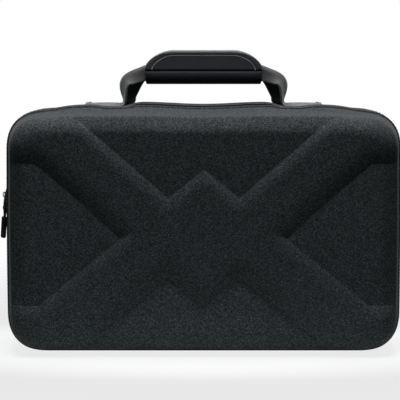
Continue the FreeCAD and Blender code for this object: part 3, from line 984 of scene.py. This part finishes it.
# %% Box stitches
seam_pitch, seam_fill = 2.8 * MM, 0.38
seam_width, seam_thick = 0.35 * MM, 0.3 * MM
box_half, hem_gap, bend_gap, bar_gap = 15 * MM, 2 * MM, 3 * MM, 1.6 * MM


def seam(start, end):
    """Places of the stitches along a straight seam on top of the case."""
    run = end - start
    count = max(round(run.length / seam_pitch), 1)
    along = run.normalized()
    size = (seam_fill * run.length / count, seam_width, seam_thick)
    spots = [start + run * (i + 0.5) / count for i in range(count)]
    return [placed(spot, along, to_top.cross(along), to_top, size) for spot in spots]


def strap_stitches():
    places = []
    level = strap_low.z + strap_thick
    near, far = strap_y - box_half, strap_y + box_half
    for side in (-1, 1):
        hem_x = strap_high.x - hem_length
        outer, inner = side * (hem_x - hem_gap), side * (bend_x + bend_gap)
        corners = ((outer, near), (outer, far), (inner, far), (inner, near))
        box = [Vector((x, y, level)) for x, y in corners]
        for a, b in ((0, 1), (1, 2), (2, 3), (3, 0), (0, 2), (1, 3)):
            places += seam(box[a], box[b])
        bar, top = side * (hem_x + bar_gap), hem_z + hem_thick / 2
        places += seam(Vector((bar, near, top)), Vector((bar, far, top)))
    bead_piece("strap_stitches", places, thread, "base")


strap_stitches()

# %% [markdown]
# ## The grip
#
# The grip is a padded wrap folded round the strap. Its lower part is a full roll, above it the two
# flaps are sewn flat together, and a ribbed tape binds their curved edge. Half of the section, from
# the middle of the roll over the crease to the bound edge, is drawn once. It is skinned from end
# to end, mirrored to the back and closed at the ends.

# %% Shape of the grip
grip_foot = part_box("grip_pad")[0].z
grip_half = 68.5 * MM
grip_height = 39.1 * MM
grip_corner, corner_wide = 21.5 * MM, 32 * MM
corner_power = 1.65
roll_radius, roll_middle = 10.4 * MM, 10.0 * MM
roll_start, roll_turn = -88, 112
roll_fade = 10 * MM
end_round, end_zone = 1.6 * MM, (-2 * MM, 5 * MM)
flap_foot = 14.5 * MM
flap_full, flap_thin = 8.6 * MM, 3.3 * MM
flap_round, flap_zone, flap_power = 1.6 * MM, 2.6 * MM, 1.4
edge_tape = 0.9 * MM


def grip_reach(height):
    """Half length of the grip at a height above its underside."""
    over = max(height - (grip_height - grip_corner), 0)
    rounded = end_round * (1 - smooth(*end_zone, height))
    roll = (grip_half - roll_half) * (1 - smooth(roll_fade, flap_foot, height)) + rounded
    share = min(over / grip_corner, 1)
    return grip_half - corner_wide + corner_wide * (1 - share**corner_power) ** (1 / corner_power) - roll


def flap_thickness(height):
    """Half thickness of the sewn flaps: full above the crease and thin at the bound edge."""
    rounded = 1 - smooth(0, flap_zone, height - flap_foot)
    taper = (height - flap_foot) / (grip_height - flap_foot)
    return flap_full - (flap_full - flap_thin) * taper - flap_round * rounded


def grip_section():
    """Half of the section as points (half thickness, height), from below upwards."""
    turns = [math.radians(roll_start + roll_turn * i / 20) for i in range(21)]
    section = [(roll_radius * math.cos(t), roll_middle + roll_radius * math.sin(t)) for t in turns]
    top = grip_height - edge_tape
    for i in range(25):
        height = flap_foot + (top - flap_foot) * (i / 24) ** flap_power
        section.append((flap_thickness(height), height))
    return section


# %% Grip finish
def grip_finish(name, dark, pale):
    """Smooth close-woven cloth with a slight sheen."""
    material, tree, shader, place = new_material(name)
    grain = noise(tree, 1500, place)
    shade = combine(tree, "ADD", grain, noise(tree, 90, place))
    colour = ramp(tree, shade, [(0.6, dark), (1.0, pale)])
    dress(shader, colour, grain, 0.12 * MM, 0.4, roughness=0.75, shine=0.2, sheen=0.06)
    return material


grip_cloth = grip_finish("grip_cloth", (0.0115, 0.0128, 0.0158), (0.0195, 0.0215, 0.0265))

# %% Padded wrap
end_pinch, pinch_start = 0.25, 0.94


def grip_wrap():
    columns = [i / 40 - 1 for i in range(81)]
    pinches = [1 - end_pinch * smooth(pinch_start, 1, abs(share)) for share in columns]
    rows = []
    for thickness, height in grip_section():
        reach = grip_reach(height) - edge_tape
        rows.append([Vector((share * reach, strap_y - thickness * pinch, grip_foot + height))
                     for share, pinch in zip(columns, pinches)])
    bm = bmesh.new()
    loft(bm, rows)
    bmesh.ops.mirror(bm, geom=whole(bm), axis="Y", matrix=Matrix.Translation((0, -strap_y, 0)), merge_dist=0)
    bmesh.ops.bridge_loops(bm, edges=border_of(bm))
    wrap = make_piece(bm, "grip_wrap", [grip_cloth], "base", ["grip_pad"], "grip_cloth")


grip_wrap()

# %% [markdown]
# ## The bound edge of the grip
#
# A ribbed tape is folded over the edge of both flaps, and a pale seam runs inside it. The tape is
# a small rounded section carried along the curved edge, swelling and shrinking from rib to rib.
# The seam's stitches sit on both faces, a little further in at the sides than on top.

# %% Walk along the edge of the grip
edge_turns = np.linspace(0, math.pi / 2, 33)
corner_x = grip_half - corner_wide + corner_wide * np.cos(edge_turns) ** (2 / corner_power)
corner_z = grip_height - grip_corner + grip_corner * np.sin(edge_turns) ** (2 / corner_power)
corner_x = np.concatenate([[grip_half], corner_x])
corner_z = np.concatenate([[flap_foot], corner_z])
edge_x = np.concatenate([-corner_x, corner_x[::-1]])
edge_z = np.concatenate([corner_z, corner_z[::-1]])
edge_s = np.concatenate([[0], np.cumsum(np.hypot(np.diff(edge_x), np.diff(edge_z)))])
edge_length = float(edge_s[-1])
slope_x, slope_z = np.gradient(edge_x, edge_s), np.gradient(edge_z, edge_s)


def along_edge(s, inset):
    """Point (x, 0, height) on the grip's edge, moved in by inset, the way along it and the way out."""
    along = Vector((np.interp(s, edge_s, slope_x), 0, np.interp(s, edge_s, slope_z))).normalized()
    way = Vector((-along.z, 0, along.x))
    point = Vector((np.interp(s, edge_s, edge_x), 0, np.interp(s, edge_s, edge_z)))
    return point - way * inset, along, way


print(f"bound edge of {1000 * edge_length:.0f} mm")

# %% Ribbed edge tape
edge_rib, edge_swell = 1.7 * MM, 0.05
edge_width, edge_square = 5.2 * MM, 0.6
binding_cloth = woven_tape("binding_tape", (0.12, 0.123, 0.128), (0.42, 0.428, 0.445), 0.8 * MM, "X")


def squared(value):
    """Sine or cosine of a section that is fuller than a circle."""
    return math.copysign(abs(value) ** edge_square, value)


def edge_binding():
    turns = [math.tau * k / 16 for k in range(16)]
    section = [(squared(math.cos(turn)), squared(math.sin(turn))) for turn in turns]
    count = 4 * round(edge_length / edge_rib)
    rows = []
    for i in range(count + 1):
        s = edge_length * i / count
        swell = 1 + edge_swell * math.cos(math.tau * s / edge_rib)
        point, _, way = along_edge(s, edge_width / 2)
        centre = Vector((point.x, strap_y, grip_foot + point.z))
        across, out = (flap_thin + edge_tape) * swell * to_back, edge_width / 2 * swell * way
        rows.append([centre + across * a + out * b for a, b in section])
    bm = bmesh.new()
    tube(bm, rows)
    make_piece(bm, "edge_binding", [binding_cloth], "base", ["grip_binding"], "binding_tape")


edge_binding()

# %% Seam inside the binding
edge_seam_inset, side_seam_inset = 6.4 * MM, 9.0 * MM
edge_stitch = (1.15 * MM, 0.4 * MM, 0.35 * MM)
pale_thread = dull_nylon("pale_thread", (0.34, 0.348, 0.365), 0.6)


def edge_stitches():
    places = []
    count = round(edge_length / seam_pitch)
    for side in (-1, 1):
        for i in range(count):
            s = edge_length * (i + 0.5) / count
            way = along_edge(s, 0)[2]
            inset = edge_seam_inset + (side_seam_inset - edge_seam_inset) * way.x**2
            point, along, way = along_edge(s, inset)
            y = strap_y + side * flap_thickness(point.z)
            spot = Vector((point.x, y, grip_foot + point.z))
            places.append(placed(spot, along, way, side * to_back, edge_stitch))
    bead_piece("edge_stitches", places, pale_thread, "base", soft=False)


edge_stitches()

# %% [markdown]
# ## Sliders and pulls
#
# Each slider is a small casting: two plates that hold the coils between them, a post, and a bridge
# for the pull. A wire link hangs in the bridge and carries a moulded tab. The plates are
# tapered and bevelled boxes, and bridge and link are round sections carried along a path.

# %% Enamel and moulding
enamel = dull_nylon("slider_metal", (0.009, 0.009, 0.01), 0.4)
moulding = dull_nylon("pull_moulding", (0.007, 0.007, 0.0075), 0.3)


def tube_rows(path, half_a, half_b, sides=10):
    """Rows of a round section along a path of (point, way a, way b)."""
    turns = [math.tau * k / sides for k in range(sides)]
    return [[p + a * (half_a * math.cos(t)) + b * (half_b * math.sin(t)) for t in turns] for p, a, b in path]


# %% Parts of a slider
slider_length, slider_width, slider_nose = 13 * MM, 10 * MM, 7.6 * MM
plate_thick, plate_round, plate_gap = 1.5 * MM, 0.45 * MM, 0.3 * MM
post_size, post_place, post_round = (0.6 * MM, 5 * MM), 2.5 * MM, 0.1 * MM
bridge_length, bridge_width, bridge_bar, bridge_bend = 6.8 * MM, 1.6 * MM, 1.2 * MM, 2 * MM


def slider_plate(bm, x, z, up):
    """Plate with its wide mouth towards up, added to the mesh of the slider."""
    mouth, nose, end = slider_width / 2, slider_nose / 2, up * slider_length / 2
    outline = [(-mouth, end), (mouth, end), (mouth, 0), (nose, -end), (-nose, -end), (-mouth, 0)]
    sides = (x - plate_thick / 2, x + plate_thick / 2)
    corners = tube(bm, [[Vector((side, zip_y + y, z + h)) for y, h in outline] for side in sides])
    round_edges(bm, [e for e in bm.edges if e.verts[0] in corners], plate_round, 3)


def slider_bridge(bm, crown_x, foot_x, middle):
    """Bent bar over the slider, from foot to foot, which the pull's link hangs in."""
    half = (bridge_length - bridge_bar) / 2
    path = [(Vector((foot_x, zip_y, middle - half)), -to_top, to_back)]
    for side, start in ((-1, 0), (1, 90)):
        hub = Vector((crown_x + bridge_bend, zip_y, middle + side * (half - bridge_bend)))
        for i in range(7):
            turn = math.radians(start + 15 * i)
            way = Vector((-math.sin(turn), 0, -math.cos(turn)))
            path.append((hub + bridge_bend * way, way, to_back))
    path.append((Vector((foot_x, zip_y, middle + half)), to_top, to_back))
    tube(bm, tube_rows(path, bridge_bar / 2, bridge_width / 2))


# %% Sliders
def slider(body, up):
    """Casting on a slider's body, whose only node has the same name."""
    low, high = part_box(body)
    middle = (low.z + high.z) / 2
    inner_x = high.x - plate_thick / 2
    outer_x = -half_width - plate_gap - plate_thick / 2
    bm = bmesh.new()
    slider_plate(bm, outer_x, middle, up)
    slider_plate(bm, inner_x, middle, up)
    post = ((outer_x + inner_x) / 2, zip_y, middle + up * (slider_length / 2 - post_place))
    add_block(bm, post, (inner_x - outer_x, *post_size), post_round, 2)
    slider_bridge(bm, low.x + bridge_bar / 2, outer_x, middle)
    make_piece(bm, f"{body}_casting", [enamel], body, [body], "slider_metal")


slider("upper_slider", -1)
slider("lower_slider", 1)

# %% Parts of a pull
link_wire, link_width, link_length, link_bend = 1.4 * MM, 7.8 * MM, 13 * MM, 1.6 * MM
tab_thick, tab_width, tab_length = 3 * MM, 10.2 * MM, 25 * MM
tab_round, tab_edge = 2.5 * MM, 0.7 * MM
tab_rim, bed_slope, bed_depth = 1.5 * MM, 0.5 * MM, 0.5 * MM
tab_head = link_length - 3 * MM


def pull_link():
    """Closed wire frame round the bridge's bar, hanging down from the origin."""
    half_y, low = link_width / 2 - link_bend, -link_length + link_wire / 2 + link_bend
    hubs = [(half_y, -link_bend, 0), (half_y, low, 270), (-half_y, low, 180), (-half_y, -link_bend, 90)]
    path = []
    for y, z, start in hubs:
        for i in range(6):
            turn = math.radians(start + 90 - 18 * i)
            way = Vector((0, math.cos(turn), math.sin(turn)))
            path.append((Vector((0, y, z)) + way * link_bend, way, Vector((1, 0, 0))))
    bm = bmesh.new()
    loft(bm, tube_rows(path, link_wire / 2, link_wire / 2), closed=True)
    bmesh.ops.bridge_loops(bm, edges=border_of(bm))
    return bm


def pull_tab(twist):
    """Moulded tab on the link: round corners, a raised rim and a shallow bed on both sides."""
    bm = bmesh.new()
    bmesh.ops.create_cube(bm, size=1)
    bmesh.ops.scale(bm, verts=bm.verts, vec=(tab_thick, tab_width, tab_length))
    through = [e for e in bm.edges if abs(e.verts[0].co.x - e.verts[1].co.x) > 0.5 * tab_thick]
    round_edges(bm, through, tab_round, 6)
    wide = [f for f in bm.faces if abs(f.normal.x) > 0.9]
    rims = [e for f in wide for e in f.edges]
    bmesh.ops.inset_individual(bm, faces=wide, thickness=tab_rim, depth=0)
    bmesh.ops.inset_individual(bm, faces=wide, thickness=bed_slope, depth=-bed_depth)
    round_edges(bm, rims, tab_edge, 3)
    bmesh.ops.rotate(bm, verts=bm.verts, cent=(0, 0, 0), matrix=Matrix.Rotation(twist, 3, "Z"))
    bmesh.ops.translate(bm, verts=bm.verts, vec=(0, 0, -tab_head - tab_length / 2))
    return bm


# %% Pulls
pull_flare = math.radians(4)
joint_places = {joint["name"]: joint.get("pos_m") for joint in frame["record"]["behaviour"]["joints"]}


def pull(name, swing, twist):
    """Link and tab, turned as they hang at rest: swing about X, a slight flare, the tab twisted."""
    body = f"{name}_pull"
    pivot = Matrix.Translation(joint_places[f"{body}_swing"])
    place = pivot @ Matrix.Rotation(swing, 4, "X") @ Matrix.Rotation(pull_flare, 4, "Y")
    link, tab = pull_link(), pull_tab(twist)
    for bm in (link, tab):
        bmesh.ops.transform(bm, matrix=place, verts=bm.verts)
    make_piece(link, f"{name}_link", [enamel], body, [f"{body}_link"], "slider_metal")
    make_piece(tab, f"{name}_tab", [moulding], body, [f"{body}_tab"], "pull_moulding")


pull("upper", math.radians(42), 0)
pull("lower", 0, math.radians(28))

# %% [markdown]
# ## Inside the bag
#
# The photo shows the bag closed, so its inside follows what such bags have: two elastic straps on
# the back wall for the console, and a net pocket with an elastic hem in the lid. The net is a
# flat sheet cut to the lid's outline and turned into threads.

# %% Elastic straps
elastic = woven_tape("elastic", (0.012, 0.012, 0.013), (0.036, 0.037, 0.04), 1.3 * MM, "Z")
strap_slack = 1.5 * MM


def console_strap(name, node):
    """Flat elastic, sewn at both ends and a little slack between them."""
    low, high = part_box(node)
    columns = [low.x + (high.x - low.x) * i / 8 for i in range(9)]
    rows = []
    for i in range(25):
        t = i / 24
        y = (low.y + high.y) / 2 - strap_slack * math.sin(math.pi * t) ** 2
        rows.append([Vector((x, y, low.z + t * (high.z - low.z))) for x in columns])
    bm = bmesh.new()
    loft(bm, rows)
    thicken(bm, high.y - low.y, -to_back)
    strap = make_piece(bm, name, [elastic], "base", [node], "elastic")


console_strap("left_elastic", "left_console_strap")
console_strap("right_elastic", "right_console_strap")

# %% Net pocket
net_low, net_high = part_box("net_pocket")
net_y = (net_low.y + net_high.y) / 2
net_inset = 12.4 * MM
net_pitch, net_thread = 6 * MM, 1.8 * MM
net_under_hem = 2 * MM
net_cord = dull_nylon("net", (0.022, 0.022, 0.024), 0.55)


def net_pocket():
    bm = flat_face(net_inset, net_y, net_pitch)
    bmesh.ops.bisect_plane(bm, geom=whole(bm), dist=1e-5, plane_co=(0, 0, net_high.z - net_under_hem),
                           plane_no=to_top, clear_outer=True)
    area = sum(face.calc_area() for face in bm.faces)
    bmesh.ops.wireframe(bm, faces=bm.faces[:], thickness=net_thread, use_replace=True, use_boundary=True,
                        use_even_offset=True)
    net = make_piece(bm, "pocket_net", [net_cord], "lid", ["net_pocket"], "net", soft=True)


net_pocket()

# %% Hem of the pocket
hem_low, hem_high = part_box("pocket_hem")
gather_depth, gather_count = 0.35 * MM, 18


def pocket_hem():
    """Elastic turned over the top of the net, slightly gathered."""
    middle, half = (hem_low + hem_high) / 2, (hem_high - hem_low) / 2
    reach = half_width - net_inset
    path = []
    for i in range(161):
        share = i / 80 - 1
        gather = gather_depth * math.sin(math.tau * share * gather_count)
        path.append((Vector((share * reach, middle.y + gather, middle.z)), to_back, to_top))
    bm = bmesh.new()
    tube(bm, tube_rows(path, half.y, half.z, 16))
    make_piece(bm, "pocket_elastic", [elastic], "lid", ["pocket_hem"], "elastic", soft=True)


pocket_hem()

# %% [markdown]
# ## Floor, light and camera
#
# The bag stands on a pale floor in a bright room. A large soft lamp above gives the pale upper
# roll and draws out the ribs, a weak greenish one lights the front, and two small ones behind
# brighten the edges. The floor is paint near the bag, where its shadow falls and from where it
# throws some light back up, and fades into plain white further out.
# The camera stands well back and a little above the middle, as for a catalogue picture.

# %% What the camera sees of floor and room
room_tint = (0.55, 1.0, 0.92)
floor_tint = (0.92, 1.0, 0.98)
bounce_reach, bounce_paint = (0.13, 0.25), (0.88, 0.02)
white_reach, white_share = (0.25, 1.1), (0.8, 1.0)
floor_half = 3.0
floor_oval = (0.6, 1, 1)


def seen(tree):
    """1 where the camera looks at a surface, straight or through something clear, and 0 for other rays."""
    path = add_node(tree, "LightPath", {})
    return combine(tree, "MAXIMUM", path.outputs["Is Camera Ray"], path.outputs["Is Transmission Ray"])


def mix_into(output, share, first, second):
    """Lead a mix of two shaders to the output of their tree."""
    mixed = add_node(output.id_data, "MixShader", {0: share, 1: first.outputs[0], 2: second.outputs[0]})
    feed(output, {"Surface": mixed.outputs[0]})


def make_floor():
    bm = bmesh.new()
    bmesh.ops.create_grid(bm, x_segments=2, y_segments=2, size=floor_half)
    floor = add_object("floor", to_mesh(bm, "floor"))
    material, tree, shader, place = new_material("floor_paint")
    oval = add_node(tree, "Mapping", {"Vector": place, "Scale": floor_oval}).outputs["Vector"]
    distance = add_node(tree, "VectorMath", {0: oval}, operation="LENGTH").outputs["Value"]
    paint = scaled(tree, floor_tint, ranged(tree, distance, bounce_reach, bounce_paint))
    feed(shader, {"Base Color": paint, "Roughness": 0.9, "Specular IOR Level": 0.1})
    white = combine(tree, "MULTIPLY", seen(tree), ranged(tree, distance, white_reach, white_share))
    mix_into(tree.nodes["Material Output"], white, shader, add_node(tree, "Emission", {}))
    floor.data.materials.append(material)


make_floor()

# %% Room light and lamps
room_strength = 0.02


def make_world():
    world = bpy.data.worlds.new("room")
    world.use_nodes = True
    tree = world.node_tree
    light = feed(tree.nodes["Background"], {"Color": (*room_tint, 1), "Strength": room_strength})
    white = add_node(tree, "Background", {"Color": (1, 1, 1, 1)})
    mix_into(tree.nodes["World Output"], seen(tree), light, white)
    bpy.context.scene.world = world


def make_lamp(name, place, aim, size, power, colour=(1, 1, 1)):
    data = bpy.data.lights.new(name, "AREA")
    data.shape = "RECTANGLE"
    data.size, data.size_y = size
    data.energy = power
    data.color = colour
    lamp = add_object(name, data)
    lamp.location = place
    lamp.rotation_euler = (Vector(aim) - Vector(place)).to_track_quat("-Z", "Y").to_euler()


make_world()
make_lamp("top_lamp", (0, -0.2, 1.9), (0, -0.2, 0), (1.0, 1.7), 49)
make_lamp("front_lamp", (0, -1.9, 1.75), (0, -0.08, 0.15), (1.2, 0.6), 2.6, room_tint)
for name, side in (("left_lamp", -1), ("right_lamp", 1)):
    make_lamp(name, (1.25 * side, 1.75, 1.0), (0, 0.02, 0.14), (0.8, 0.8), 9)

# %% Camera
lens_pixels = 2002
photo_pixels = 400
sensor_width = 36
camera_far = 2.3
camera_rise = math.radians(5)
photo_centre_x = 203.6
aim_z = 0.1722


def make_camera():
    data = bpy.data.cameras.new("camera")
    data.sensor_fit = "HORIZONTAL"
    data.sensor_width = sensor_width
    data.lens = sensor_width * lens_pixels / photo_pixels
    camera = add_object("camera", data)
    side = -(photo_centre_x - photo_pixels / 2) * camera_far / lens_pixels
    back = Vector((0, -math.cos(camera_rise), math.sin(camera_rise)))
    camera.location = Vector((side, zip_y, aim_z)) + camera_far * back
    camera.rotation_euler = (-back).to_track_quat("-Z", "Y").to_euler()
    bpy.context.scene.camera = camera
    bpy.context.scene.view_settings.view_transform = "Standard"


make_camera()
